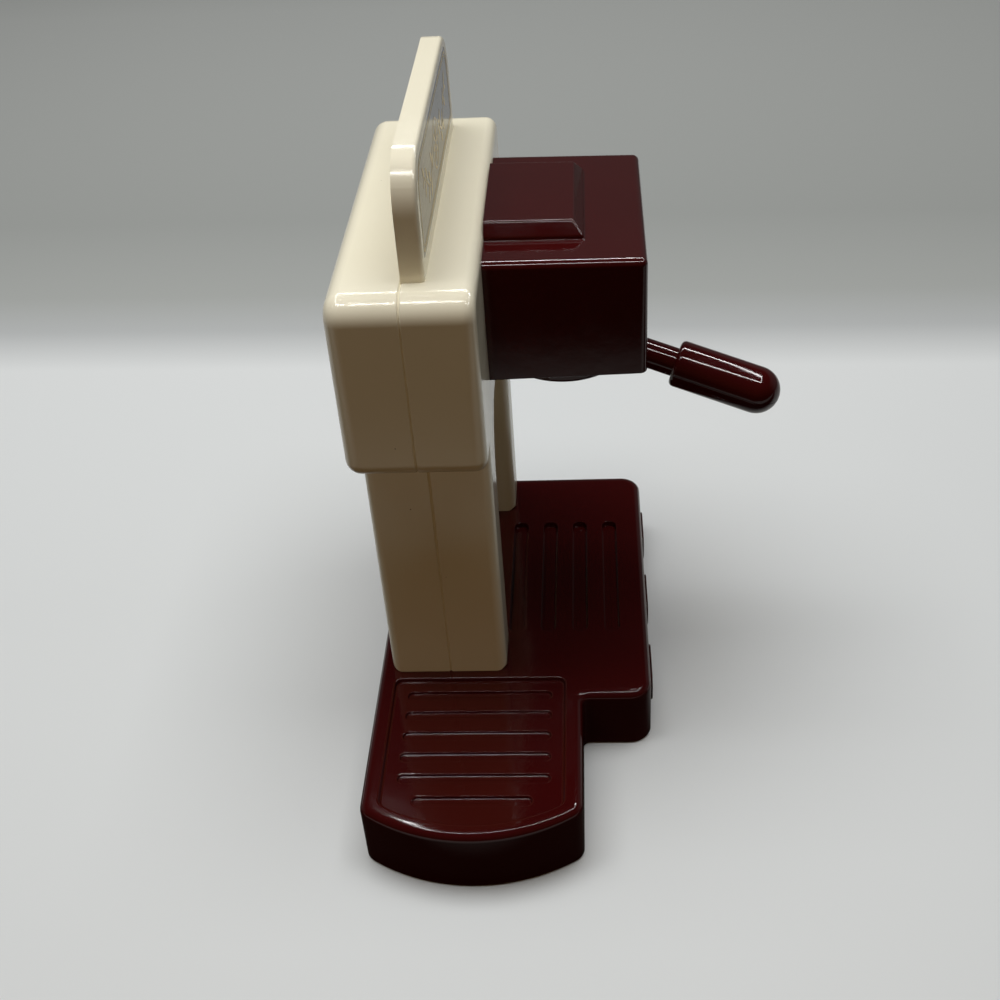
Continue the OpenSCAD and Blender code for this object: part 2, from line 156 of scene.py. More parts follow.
@dataclass(frozen=True)
class MouldedAbs:
    """Injection-moulded ABS from a polished tool.

    It looks hard and clean-edged: an even colour that drifts a little, a clear gloss whose reflections
    wander with the shrinkage of the wall, a fine haze from handling, and a few dark inclusions. The grain
    of the tool's polish is finer than a tenth of a millimetre; it is drawn coarser, so that it shows.
    """

    name: str
    colour: str
    drift: str
    inclusion: str
    roughness: float = 0.14
    haze: float = 0.06
    peel_length: float = 6.0
    peel_depth: float = 0.06
    grain_length: float = 0.7
    grain_depth: float = 0.004
    inclusion_pitch: float = 12.0
    inclusion_radius: float = 0.35
    inclusion_core: float = 0.6
    inclusion_share: float = 0.85
    drift_length: float = 45.0
    haze_length: float = 14.0
    haze_from: float = 0.35
    haze_to: float = 0.75
    ior: float = 1.53

    def material(self) -> bpy.types.Material:
        """Builds the material on Object coordinates."""
        material, tree = blank_material(self.name)
        where = add_node(tree, "TexCoord").outputs["Object"]
        broad = add_node(tree, "TexNoise", {"Vector": where, "Scale": 1 / (self.drift_length * MM),
                                            "Detail": 3.0})
        tone = add_node(tree, "Mix", {SHARE: broad.outputs["Fac"], FIRST: self.colour,
                                      SECOND: self.drift}, data_type="RGBA")
        cells = add_node(tree, "TexVoronoi", {"Vector": where, "Scale": 1 / (self.inclusion_pitch * MM)})
        edge = self.inclusion_radius / self.inclusion_pitch
        dots = add_node(tree, "MapRange", {
            "Value": cells.outputs["Distance"], "From Min": edge * self.inclusion_core, "From Max": edge,
            "To Min": self.inclusion_share, "To Max": 0.0})
        base = add_node(tree, "Mix", {SHARE: dots.outputs[0], FIRST: tone.outputs[MIXED],
                                      SECOND: self.inclusion}, data_type="RGBA")
        wipe = add_node(tree, "TexNoise", {"Vector": where, "Scale": 1 / (self.haze_length * MM),
                                           "Detail": 5.0, "Roughness": 0.7})
        rough = add_node(tree, "MapRange", {
            "Value": wipe.outputs["Fac"], "From Min": self.haze_from, "From Max": self.haze_to,
            "To Min": self.roughness, "To Max": self.roughness + self.haze})
        peel = add_node(tree, "TexNoise", {"Vector": where, "Scale": 1 / (self.peel_length * MM),
                                           "Detail": 1.0})
        wave = add_node(tree, "Bump", {"Height": peel.outputs["Fac"], "Distance": self.peel_depth * MM})
        grain = add_node(tree, "TexNoise", {"Vector": where, "Scale": 1 / (self.grain_length * MM),
                                            "Detail": 2.0})
        fine = add_node(tree, "Bump", {"Height": grain.outputs["Fac"], "Distance": self.grain_depth * MM,
                                       "Normal": wave.outputs[0]})
        shader = add_node(tree, "BsdfPrincipled", {
            "Base Color": base.outputs[MIXED], "Roughness": rough.outputs[0], "IOR": self.ior,
            "Normal": fine.outputs[0]})
        add_node(tree, "OutputMaterial", {"Surface": shader.outputs[0]})
        return material


@dataclass(frozen=True)
class ZincPlatedSteel:
    """Zinc-plated steel, pressed and tumbled: a pale grey metal whose small dents scatter the light."""

    name: str = "zinc_plated_steel"
    bright: str = "#C9CCD1"
    dull: str = "#9EA3AB"
    roughness: float = 0.3
    polished: float = -0.06
    dulled: float = 0.12
    cloud_length: float = 1.6
    dent_length: float = 0.8
    dent_depth: float = 0.02

    def material(self) -> bpy.types.Material:
        """Builds the material on Object coordinates."""
        material, tree = blank_material(self.name)
        where = add_node(tree, "TexCoord").outputs["Object"]
        cloud = add_node(tree, "TexNoise", {"Vector": where, "Scale": 1 / (self.cloud_length * MM),
                                            "Detail": 3.0})
        tone = add_node(tree, "Mix", {SHARE: cloud.outputs["Fac"], FIRST: self.bright,
                                      SECOND: self.dull}, data_type="RGBA")
        rough = add_node(tree, "MapRange", {
            "Value": cloud.outputs["Fac"], "To Min": self.roughness + self.polished,
            "To Max": self.roughness + self.dulled})
        dents = add_node(tree, "TexNoise", {"Vector": where, "Scale": 1 / (self.dent_length * MM)})
        bump = add_node(tree, "Bump", {"Height": dents.outputs["Fac"], "Distance": self.dent_depth * MM})
        shader = add_node(tree, "BsdfPrincipled", {
            "Base Color": tone.outputs[MIXED], "Metallic": 1.0, "Roughness": rough.outputs[0],
            "Normal": bump.outputs[0]})
        add_node(tree, "OutputMaterial", {"Surface": shader.outputs[0]})
        return material


@dataclass(frozen=True)
class PrintedFilm:
    """Screen-printed polypropylene film: flat ink under a smooth varnish, with faint roller lines."""

    name: str
    ink: str
    thin_ink: str
    roughness: float = 0.16
    smooth: float = -0.04
    worn: float = 0.06
    roller_pitch: float = 0.9
    roller_depth: float = 0.004
    roller_run: tuple[float, float, float] = (0.08, 1.0, 1.0)
    ior: float = 1.5

    def material(self) -> bpy.types.Material:
        """Builds the material on Object coordinates."""
        material, tree = blank_material(self.name)
        where = add_node(tree, "TexCoord").outputs["Object"]
        long = add_node(tree, "Mapping", {"Vector": where, "Scale": self.roller_run})
        streak = add_node(tree, "TexNoise", {"Vector": long.outputs[0], "Detail": 3.0,
                                             "Scale": 1 / (self.roller_pitch * MM)})
        tone = add_node(tree, "Mix", {SHARE: streak.outputs["Fac"], FIRST: self.ink,
                                      SECOND: self.thin_ink}, data_type="RGBA")
        rough = add_node(tree, "MapRange", {
            "Value": streak.outputs["Fac"], "To Min": self.roughness + self.smooth,
            "To Max": self.roughness + self.worn})
        bump = add_node(tree, "Bump", {"Height": streak.outputs["Fac"], "Distance": self.roller_depth * MM})
        shader = add_node(tree, "BsdfPrincipled", {
            "Base Color": tone.outputs[MIXED], "Roughness": rough.outputs[0], "IOR": self.ior,
            "Normal": bump.outputs[0]})
        add_node(tree, "OutputMaterial", {"Surface": shader.outputs[0]})
        return material


class Palette:
    """The finishes of this toy, each made once."""

    def __init__(self) -> None:
        """Builds the five materials."""
        self.ivory = MouldedAbs("ivory_moulded_abs", "#EFE9D2", "#EAE3CB", "#6B5A42", roughness=0.16,
                                peel_length=9.0, peel_depth=0.03).material()
        self.burgundy = MouldedAbs("burgundy_moulded_abs", "#3B0909", "#330707", "#120303", roughness=0.08,
                                   peel_length=6.0, peel_depth=0.03, grain_length=1.3, grain_depth=0.012,
                                   inclusion_pitch=20).material()
        self.steel = ZincPlatedSteel().material()
        self.film = PrintedFilm("brown_printed_film", "#2B231B", "#33291F").material()
        self.gold = PrintedFilm("gold_ink_on_film", "#E8D096", "#DABF80", roughness=0.22).material()


# ---- outlines and mesh tools -----------------------------------------------


@dataclass(frozen=True)
class Arc:
    """One corner of an outline: centre, radius, start angle and signed sweep. Radius 0 is a sharp corner."""

    x: float
    y: float
    radius: float = 0.0
    start: float = 0.0
    sweep: float = 0.0


def rounded(*corners: tuple[float, float, float]) -> list[Arc]:
    """Turns corner points into the arcs that round them.

    Args:
        *corners: Across, up and corner radius, in counter-clockwise order. Corners may be hollow.

    Returns:
        One arc for each corner.
    """
    arcs = []
    for i, (x, y, radius) in enumerate(corners):
        if not radius:
            arcs.append(Arc(x, y))
            continue
        here = Vector((x, y))
        back = (Vector(corners[i - 1][:2]) - here).normalized()
        ahead = (Vector(corners[(i + 1) % len(corners)][:2]) - here).normalized()
        half = back.angle(ahead) / 2
        centre = here + (back + ahead).normalized() * radius / math.sin(half)
        first = here + back * radius / math.tan(half) - centre
        turn = math.pi - 2 * half
        hollow = back.x * ahead.y - back.y * ahead.x > 0
        arcs.append(Arc(centre.x, centre.y, radius, math.atan2(first.y, first.x), -turn if hollow else turn))
    return arcs


def slab_corners(x0: float, y0: float, x1: float, y1: float, radius: float) -> list[Arc]:
    """Gives the four round corners of a rectangle.

    Args:
        x0: Left side.
        y0: Lower side.
        x1: Right side.
        y1: Upper side.
        radius: Corner radius.

    Returns:
        Its arcs.
    """
    return rounded((x0, y0, radius), (x1, y0, radius), (x1, y1, radius), (x0, y1, radius))


def outline(bm: BMesh, arcs: Sequence[Arc], level: float, sag: float = RIM_SAG) -> list[BMEdge]:
    """Draws a closed outline: each corner is a vertex spun round its centre, and the ends are joined.

    Args:
        bm: The mesh that gets it.
        arcs: The outline's corners in order.
        level: Its height, in millimetres.
        sag: How far a straight piece may run inside its arc, in millimetres.

    Returns:
        The outline's edges.
    """
    known = set(bm.verts)
    ends = []
    for arc in arcs:
        centre = Vector((arc.x, arc.y, level)) * MM
        spoke = Vector((math.cos(arc.start), math.sin(arc.start), 0)) * arc.radius * MM
        first = last = bm.verts.new(centre + spoke)
        if arc.radius:
            steps = max(3, math.ceil(abs(arc.sweep) / 2 / math.acos(1 - min(sag / arc.radius, 0.1))))
            swept = bmesh.ops.spin(bm, geom=[first], cent=centre, axis=(0, 0, 1), angle=arc.sweep,
                                   steps=steps)
            last = next(g for g in swept["geom_last"] if isinstance(g, BMVert))
        ends.append((first, last))
    for (_, tail), (head, _) in zip(ends, ends[1:] + ends[:1]):
        bm.edges.new((tail, head))
    fresh = [v for v in bm.verts if v not in known]
    bmesh.ops.remove_doubles(bm, verts=fresh, dist=OUTLINE_WELD * MM)
    return list(dict.fromkeys(e for v in fresh if v.is_valid for e in v.link_edges))


def outline_face(bm: BMesh, arcs: Sequence[Arc], level: float, sag: float = RIM_SAG) -> BMFace:
    """Draws an outline and fills it.

    Args:
        bm: The mesh that gets it.
        arcs: The outline's corners in order.
        level: Its height, in millimetres.
        sag: How far a straight piece may run inside its arc, in millimetres.

    Returns:
        The face.
    """
    return bmesh.ops.edgeloop_fill(bm, edges=outline(bm, arcs, level, sag))["faces"][0]


def push(bm: BMesh, face: BMFace, rise: float) -> BMFace:
    """Extrudes one face straight up or down.

    Args:
        bm: The mesh.
        face: The face; where it stands alone it stays as the far end.
        rise: How far the new face moves up, in millimetres.

    Returns:
        The new face.
    """
    alone = all(e.is_boundary for e in face.edges)
    made = bmesh.ops.extrude_face_region(bm, geom=[face])["geom"]
    bmesh.ops.translate(bm, vec=(0, 0, rise * MM), verts=[g for g in made if isinstance(g, BMVert)])
    if not alone:
        open_face(bm, face)
    return next(g for g in made if isinstance(g, BMFace))


def inset(bm: BMesh, face: BMFace, width: float, rise: float = 0.0) -> BMFace:
    """Shrinks a face inside its own outline, leaving a ring of new faces.

    Args:
        bm: The mesh.
        face: The face.
        width: Width of the ring, in millimetres.
        rise: How far the face moves up, in millimetres.

    Returns:
        The same face, now the inner one.
    """
    bmesh.ops.inset_region(bm, faces=[face], thickness=width * MM, use_even_offset=True, use_boundary=True)
    if rise:
        bmesh.ops.translate(bm, vec=(0, 0, rise * MM), verts=face.verts[:])
    return face


def sides_of(face: BMFace) -> list[BMFace]:
    """Gives the faces that share an edge with a face."""
    return [f for f in dict.fromkeys(f for e in face.edges for f in e.link_faces) if f != face]


def edges_at(faces: Iterable[BMFace], level: float) -> list[BMEdge]:
    """Finds the level edges of some faces.

    Args:
        faces: The faces.
        level: The edges' height, in millimetres.

    Returns:
        The edges.
    """
    edges = dict.fromkeys(e for f in faces for e in f.edges)
    return [e for e in edges if all(abs(v.co.z - level * MM) < ON_PLANE for v in e.verts)]


def soften(bm: BMesh, edges: Iterable[BMEdge], radius: float, segments: int = 4) -> None:
    """Rounds edges.

    Args:
        bm: The mesh.
        edges: The edges.
        radius: Distance from the old edge to where the rounding ends, in millimetres.
        segments: Number of faces across the rounding.
    """
    bmesh.ops.bevel(bm, geom=list(edges), offset=radius * MM, offset_type="OFFSET", segments=segments,
                    profile=0.5, affect="EDGES", material=-1)


def open_face(bm: BMesh, face: BMFace) -> None:
    """Takes a face away and leaves its edges."""
    bmesh.ops.delete(bm, geom=[face], context="FACES_ONLY")


def fill_level(bm: BMesh, level: float) -> None:
    """Fills what is left open at one height, round every pocket.

    Args:
        bm: The mesh.
        level: The height, in millimetres.
    """
    edges = [e for e in bm.edges
             if e.is_boundary and all(abs(v.co.z - level * MM) < ON_PLANE for v in e.verts)]
    bmesh.ops.triangle_fill(bm, use_beauty=True, edges=edges, normal=(0, 0, 1))


@dataclass(frozen=True)
class Pocket:
    """A recess in a flat face: a flat lip round it, straight sides, and a floor with its own lip.

    rim and foot are the radii of its upper and lower edge, lip and floor_lip the widths of flat rings that
    leave room for them.
    """

    depth: float
    rim: float
    foot: float
    lip: float = 1.0
    segments: int = 3
    floor_lip: float = 0.3

    def sink(self, bm: BMesh, face: BMFace) -> BMFace:
        """Cuts the pocket.

        Args:
            bm: The mesh.
            face: The pocket's outline, already larger by the lip.

        Returns:
            The floor.
        """
        level = face.verts[0].co.z / MM
        floor = push(bm, inset(bm, face, self.lip), -self.depth)
        walls = sides_of(floor)
        inset(bm, floor, self.foot + self.floor_lip)
        rim, foot = edges_at(walls, level), edges_at(walls, level - self.depth)
        soften(bm, foot, self.foot, max(2, self.segments - 1))
        soften(bm, rim, self.rim, self.segments)
        return floor


def lathe(bm: BMesh, corners: Sequence[tuple[float, float, float]], steps: int = 96,
          angle: float = math.tau) -> None:
    """Turns a profile round the upright axis.

    Args:
        bm: The mesh that gets it.
        corners: Distance from the axis, height and corner radius, counter-clockwise from the axis.
        steps: Number of steps round.
        angle: How far round it goes.
    """
    known = set(bm.verts)
    loop = outline(bm, rounded(*corners), 0.0, LATHE_SAG)
    closed = angle >= math.tau
    if closed:
        axis = [e for e in loop if all(abs(v.co.x) < ON_PLANE for v in e.verts)]
        loop = [e for e in loop if e not in axis]
        bmesh.ops.delete(bm, geom=axis, context="EDGES")
    else:
        loop += bmesh.ops.edgeloop_fill(bm, edges=loop)["faces"]
    verts = [v for v in bm.verts if v not in known]
    bmesh.ops.rotate(bm, verts=verts, cent=(0, 0, 0), matrix=Matrix.Rotation(math.pi / 2, 3, "X"))
    bmesh.ops.spin(bm, geom=verts + loop, cent=(0, 0, 0), axis=(0, 0, 1), angle=angle, steps=steps,
                   use_merge=closed)
    fresh = [v for v in bm.verts if v not in known]
    bmesh.ops.remove_doubles(bm, verts=fresh, dist=LATHE_WELD * MM)


def add_object(name: str, data: bpy.types.ID) -> bpy.types.Object:
    """Puts a mesh, light or camera into the scene.

    Args:
        name: The object's name.
        data: What it shows.

    Returns:
        The new object.
    """
    made = bpy.data.objects.new(name, data)
    bpy.context.scene.collection.objects.link(made)
    return made


def finish_piece(bm: BMesh, name: str, body: Body, finish: bpy.types.Material,
                 stands_for: Sequence[str] = (), sharp: float = 42) -> None:
    """Turns a mesh into a finished piece of the toy.

    Args:
        bm: The mesh, in place; it is freed.
        name: The piece's name.
        body: The body that it rides on.
        finish: Its material.
        stands_for: The CAD nodes that it replaces.
        sharp: Edges steeper than this stay crisp, in degrees.
    """
    bmesh.ops.dissolve_degenerate(bm, dist=SPLINTER * MM, edges=bm.edges[:])
    bmesh.ops.recalc_face_normals(bm, faces=bm.faces[:])
    for face in bm.faces:
        face.smooth = True
    mesh = bpy.data.meshes.new(name)
    bm.to_mesh(mesh)
    bm.free()
    mesh.set_sharp_from_angle(angle=math.radians(sharp))
    mesh.materials.append(finish)
    piece = add_object(name, mesh)
    weighting = piece.modifiers.new("even_flats", "WEIGHTED_NORMAL")
    weighting.keep_sharp = True
    weighting.weight = 100
    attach(piece, body.value)
    if stands_for:
        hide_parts(*stands_for)
    LOG.info("%s: %d faces on %s", name, len(mesh.polygons), body.value)


def place(bm: BMesh, facing: Facing) -> None:
    """Turns a mesh drawn lying down to where it faces."""
    bmesh.ops.transform(bm, matrix=facing.value, verts=bm.verts[:])


def join(bm: BMesh, other: BMesh) -> None:
    """Adds one mesh to another and frees it.

    Args:
        bm: The mesh that grows.
        other: The mesh that is added.
    """
    other.verts.index_update()
    carrier = bpy.data.meshes.new("carrier")
    other.to_mesh(carrier)
    other.free()
    bm.from_mesh(carrier)
    bpy.data.meshes.remove(carrier)


# ---- the base --------------------------------------------------------------


@dataclass
class Base:
    """The burgundy base: front block with drip grooves, side shelf with its ribbed tray.

    skirt is the height of its lower edge, and nook the radius of the hollow corner between block and shelf.
    """

    palette: Palette
    skirt: float = 0.3
    top: float = 29.0
    left: float = -79.6
    right: float = 69.0
    front: float = -85.0
    rear: float = 28.5
    corner: float = 9.0
    edge: float = 3.2
    edge_lip: float = 1.0
    foot_edge: float = 0.5
    wall: float = 2.4
    hollow: float = 9.0
    shelf_front: float = -56.7
    shelf_centre: tuple[float, float] = (-78.4, -14.1)
    shelf_radius: float = 73.0
    shelf_corner: float = 6.5
    shelf_overlap: float = 30.0
    nook: float = 3.0
    tray_radius: float = 66.6
    tray_right: float = -69.4
    tray_half: float = 35.3
    tray_depth: float = 1.8
    tray_lip: float = 1.0
    tray_rim: float = 0.8
    tray_foot: float = 0.7
    tray_corner: float = 3.0
    tray_end_corner: float = 4.0
    tray_first: tuple[float, float] = (-77.5, -14.3)
    tray_grooves: tuple[float, ...] = (59.5, 59.5, 59.5, 59.5, 59.5, 46.0)
    tray_pitch: float = 11.0
    tray_groove_width: float = 4.4
    tray_groove_cut: Pocket = Pocket(1.2, 0.35, 0.5, 0.8)
    drip_at: tuple[float, ...] = (-28.4, -42.15, -55.9, -69.65)
    drip_length: float = 75.0
    drip_width: float = 6.5
    drip_x: float = -4.0
    drip_cut: Pocket = Pocket(2.7, 0.2, 0.5, 1.2)
    groove_end: float = 0.98
    pads_at: tuple[float, ...] = (-52.0, -6.0, 40.0)
    pad_half: float = 13.0
    pad_reach: tuple[float, float] = (8.0, 21.0)
    pad_corner: float = 5.0
    pad_root: float = 0.5
    pad_height: float = 1.6
    pad_edge: float = 0.5

    def build(self) -> None:
        """Builds the moulding and its three front pads."""
        bm = bmesh.new()
        foot = outline_face(bm, self._plan(), self.skirt)
        top = push(bm, foot, self.top - self.skirt)
        walls = sides_of(top)
        inset(bm, top, self.edge + self.edge_lip)
        push(bm, inset(bm, foot, self.wall), self.hollow)
        rims = edges_at(walls, self.top), edges_at(walls, self.skirt)
        self._tray(bm)
        self._drip_grooves(bm)
        open_face(bm, top)
        fill_level(bm, self.top)
        soften(bm, rims[0], self.edge, 6)
        soften(bm, rims[1], self.foot_edge, 2)
        self._pads(bm)
        finish_piece(bm, "base_moulding", Body.MACHINE, self.palette.burgundy, ["base_shell"])

    def _round_end(self, radius: float, half: float, corner: float) -> list[Arc]:
        """Gives the arcs of the shelf's round end.

        Args:
            radius: Radius of the end.
            half: Half width of the shelf.
            corner: Radius of its two corners.

        Returns:
            Rear corner, end and front corner.
        """
        x, y = self.shelf_centre
        reach = math.sqrt((radius - corner) ** 2 - (half - corner) ** 2)
        lean = math.atan2(half - corner, -reach)
        return [Arc(x - reach, y + half - corner, corner, math.pi / 2, lean - math.pi / 2),
                Arc(x, y, radius, lean, 2 * (math.pi - lean)),
                Arc(x - reach, y - half + corner, corner, -lean, lean - math.pi / 2)]

    def _plan(self) -> list[Arc]:
        """Gives the base's outline seen from above."""
        half = (self.rear - self.shelf_front) / 2
        end = self.left - self.shelf_overlap
        block = rounded((self.left, self.front, self.corner), (self.right, self.front, self.corner),
                        (self.right, self.rear, self.corner), (end, self.rear, 0),
                        (end, self.shelf_front, 0), (self.left, self.shelf_front, self.nook))
        return block[:3] + self._round_end(self.shelf_radius, half, self.shelf_corner) + block[5:]

    def _tray(self, bm: BMesh) -> None:
        """Sinks the side tray with its six grooves.

        Args:
            bm: The base's mesh.
        """
        lip = self.tray_lip
        (x, y), (first, middle) = self.shelf_centre, self.tray_first
        half, right = self.tray_half + lip, self.tray_right + lip
        left, corner = x - self.shelf_overlap, self.tray_corner + lip
        side = rounded((right, y - half, corner), (right, y + half, corner), (left, y + half, 0),
                       (left, y - half, 0))
        arcs = side[:2] + self._round_end(self.tray_radius + lip, half, self.tray_end_corner + lip)
        cut = Pocket(self.tray_depth, self.tray_rim, self.tray_foot, lip)
        floor = cut.sink(bm, outline_face(bm, arcs, self.top))
        for i, length in enumerate(self.tray_grooves):
            self._groove(bm, (first - i * self.tray_pitch, middle), self.tray_groove_width, length,
                         self.top - self.tray_depth, self.tray_groove_cut)
        open_face(bm, floor)
        fill_level(bm, self.top - self.tray_depth)

    def _drip_grooves(self, bm: BMesh) -> None:
        """Sinks the four drip grooves of the front block.

        Args:
            bm: The base's mesh.
        """
        for y in self.drip_at:
            self._groove(bm, (self.drip_x, y), self.drip_length, self.drip_width, self.top, self.drip_cut)

    def _groove(self, bm: BMesh, middle: tuple[float, float], width: float, height: float, level: float,
                pocket: Pocket) -> None:
        """Sinks one round-ended groove.

        Args:
            bm: The base's mesh.
            middle: Its middle.
            width: Its size across.
            height: Its size from front to rear.
            level: Height of the face that it is cut into.
            pocket: How it is cut.
        """
        a, b = width / 2 + pocket.lip, height / 2 + pocket.lip
        arcs = slab_corners(middle[0] - a, middle[1] - b, middle[0] + a, middle[1] + b,
                            min(a, b) * self.groove_end)
        pocket.sink(bm, outline_face(bm, arcs, level, SMALL_SAG))

    def _pads(self, bm: BMesh) -> None:
        """Adds the three raised pads on the front of the base.

        Args:
            bm: The base's mesh.
        """
        low, high = self.pad_reach
        for x in self.pads_at:
            pad = bmesh.new()
            arcs = slab_corners(x - self.pad_half, low, x + self.pad_half, high, self.pad_corner)
            face = push(pad, outline_face(pad, arcs, -self.front - self.pad_root), self.pad_height)
            soften(pad, face.edges, self.pad_edge, 3)
            place(pad, Facing.FRONT)
            join(bm, pad)


# ---- the ivory tower -------------------------------------------------------


@dataclass
class Tower:
    """The two ivory shells: head, posts and arch, parted along the middle, with the sign on the front one.

    Where a value has two parts, they are those of the front and the rear shell, unless its name says more.
    sign_shoulder is the half length, height and radius where the sign's end bends in, and sign_crest the
    half length and radius at its top.
    """

    palette: Palette
    head_half: float = 81.0
    head_bottom: float = 142.0
    head_top: float = 213.7
    head_depth: tuple[float, float] = (25.5, 26.1)
    crown: float = 9.0
    edge: tuple[float, float] = (4.6, 6.0)
    foot_corner: float = 6.2
    post_out: float = 65.0
    post_in: float = 42.8
    post_foot: float = 29.0
    post_depth: tuple[float, float] = (25.2, 23.0)
    post_parting: float = 1.7
    post_edge: float = 4.0
    post_overlap: float = 8.0
    arch: float = 24.0
    seam: float = 0.6
    rim_lip: float = 0.05
    wells_at: tuple[tuple[float, float], ...] = ((69, 201), (69, 154), (-69, 201), (-69, 154))
    post_wells_at: tuple[tuple[float, float], ...] = ((53.5, 78), (-53.5, 78))
    well_radius: float = 3.4
    well_floor: float = 8.0
    well_rim: float = 0.4
    well_foot: float = 0.3
    well_lip: float = 1.0
    sign_root: float = 6.5
    sign_depth: float = 8.3
    sign_foot: float = 67.0
    sign_head: float = 64.4
    sign_top: float = 255.2
    sign_corner: float = 14.8
    sign_shoulder: tuple[float, float, float] = (66.8, 241.8, 22.0)
    sign_crest: tuple[float, float] = (59.9, 16.0)
    sign_edge: float = 1.7
    sign_edge_lip: float = 0.5
    sign_wall: float = 2.4
    label_half: tuple[float, float] = (62.6, 59.6)
    label_above_head: float = 5.0
    label_below_crest: float = 3.8
    label_slant: float = 1.03
    bed_cut: Pocket = Pocket(0.6, 0.15, 0.1, 0.5, 2)
    bed_corner: float = 3.5
    ribs_at: tuple[float, ...] = (-40.0, -20.0, 0.0, 20.0, 40.0)
    rib: float = 1.6
    core_depth: float = 5.3
    core_lip: float = 0.5
    core_corner: float = 1.2
    core_above_head: float = 2.5
    core_crest_in: float = 3.0
    core_slant: float = 1.015
    back_lip: float = 1.0

    def build(self) -> None:
        """Builds both shells."""
        front = self._half(0)
        join(front, self._sign())
        place(front, Facing.FRONT)
        finish_piece(front, "tower_front", Body.MACHINE, self.palette.ivory, ["front_shell"])
        rear = self._half(1)
        place(rear, Facing.REAR)
        finish_piece(rear, "tower_rear", Body.MACHINE, self.palette.ivory, ["rear_shell"])

    def _half(self, which: int) -> BMesh:
        """Builds one half of the tower, lying on its parting face.

        Args:
            which: 0 for the front half, 1 for the rear half with its screw wells.

        Returns:
            Its mesh.
        """
        side, low, high = self.head_half, self.head_bottom, self.head_top
        head = self._block(
            rounded((-side, low, self.foot_corner), (side, low, self.foot_corner), (side, high, self.crown),
                    (-side, high, self.crown)),
            (0.0, self.head_depth[which]), self.edge[which], self.wells_at if which else ())
        outer, inner, foot, top = self.post_out, self.post_in, self.post_foot, low + self.post_overlap
        posts = self._block(
            rounded((-outer, foot, 0), (-inner, foot, 0), (-inner, low, self.arch), (inner, low, self.arch),
                    (inner, foot, 0), (outer, foot, 0), (outer, top, 0), (-outer, top, 0)),
            (-self.post_parting if which else self.post_parting, self.post_depth[which]), self.post_edge,
            self.post_wells_at if which else ())
        join(head, posts)
        return head

    def _block(self, arcs: Sequence[Arc], reach: tuple[float, float], edge: float,
               wells: Sequence[tuple[float, float]]) -> BMesh:
        """Builds a slab with a rounded rim, a fine seam edge and screw wells.

        Args:
            arcs: Its outline.
            reach: Where it starts and ends, measured from the parting face.
            edge: Radius of the rim.
            wells: Middles of its screw wells.

        Returns:
            Its mesh.
        """
        start, depth = reach
        bm = bmesh.new()
        face = push(bm, outline_face(bm, arcs, start), depth - start)
        walls = sides_of(face)
        inset(bm, face, edge + self.rim_lip)
        rim, seam = (self._above_foot(edges_at(walls, level)) for level in (depth, start))
        cut = Pocket(depth - self.well_floor, self.well_rim, self.well_foot, self.well_lip, 2)
        for x, y in wells:
            ring = bmesh.ops.create_circle(
                bm, cap_ends=True, segments=32, radius=(self.well_radius + self.well_lip) * MM,
                matrix=Matrix.Translation(Vector((x, y, depth)) * MM))
            cut.sink(bm, ring["verts"][0].link_faces[0])
        if wells:
            open_face(bm, face)
            fill_level(bm, depth)
        soften(bm, rim, edge, 7)
        soften(bm, seam, self.seam, 1)
        return bm

    def _above_foot(self, edges: Iterable[BMEdge]) -> list[BMEdge]:
        """Leaves out edges where the posts stand on the base or end inside the head."""
        hidden = (self.post_foot, self.head_bottom + self.post_overlap)
        return [e for e in edges
                if not any(all(abs(v.co.y - h * MM) < ON_PLANE for v in e.verts) for h in hidden)]

    def _lean(self, height: float, foot: float, head: float, top: float) -> float:
        """Half length of a tapering plate.

        Args:
            height: Height above the floor.
            foot: Half length where it stands on the head.
            head: Half length at its top.
            top: Height of its top.

        Returns:
            Half length at that height.
        """
        return head + (foot - head) * (top - height) / (top - self.head_top)

    def sign_half(self, height: float) -> float:
        """Half length of the sign at a height above the floor."""
        return self._lean(height, self.sign_foot, self.sign_head, self.sign_top)

    def label_corners(self, margin: float, radius: float) -> list[Arc]:
        """Gives the label's outline.

        Args:
            margin: How far it is moved inwards.
            radius: Corner radius.

        Returns:
            Its arcs.
        """
        top = self.sign_top - self.label_below_crest
        low, high = self.head_top + self.label_above_head + margin, top - margin
        a, b = (self._lean(z, *self.label_half, top) - margin * self.label_slant for z in (low, high))
        crest = self.sign_corner - self.label_below_crest - margin
        return rounded((-a, low, radius), (a, low, radius), (b, high, crest), (-b, high, crest))

    def _sign(self) -> BMesh:
        """Builds the sign: a leaning slab with a sunk label field in front and cored pockets behind."""
        bm = bmesh.new()
        foot = self.head_top - self.sign_root
        a = self.sign_half(foot)
        (side, level, bend), (crest, tight) = self.sign_shoulder, self.sign_crest
        arcs = rounded((-a, foot, 0), (a, foot, 0), (side, level, bend), (crest, self.sign_top, tight),
                       (-crest, self.sign_top, tight), (-side, level, bend))
        back = outline_face(bm, arcs, 0.0)
        face = push(bm, back, self.sign_depth)
        walls = sides_of(face)
        inset(bm, face, self.sign_edge + self.sign_edge_lip)
        rim = [e for e in edges_at(walls, self.sign_depth)
               if max(v.co.y for v in e.verts) > foot * MM + ON_PLANE]
        bed = self.label_corners(-self.bed_cut.lip, self.bed_corner)
        self.bed_cut.sink(bm, outline_face(bm, bed, self.sign_depth))
        open_face(bm, face)
        fill_level(bm, self.sign_depth)
        inset(bm, back, self.back_lip)
        for arcs in self._cores():
            push(bm, inset(bm, outline_face(bm, arcs, 0.0, SMALL_SAG), self.core_lip), self.core_depth)
        open_face(bm, back)
        fill_level(bm, 0.0)
        soften(bm, rim, self.sign_edge, 5)
        return bm

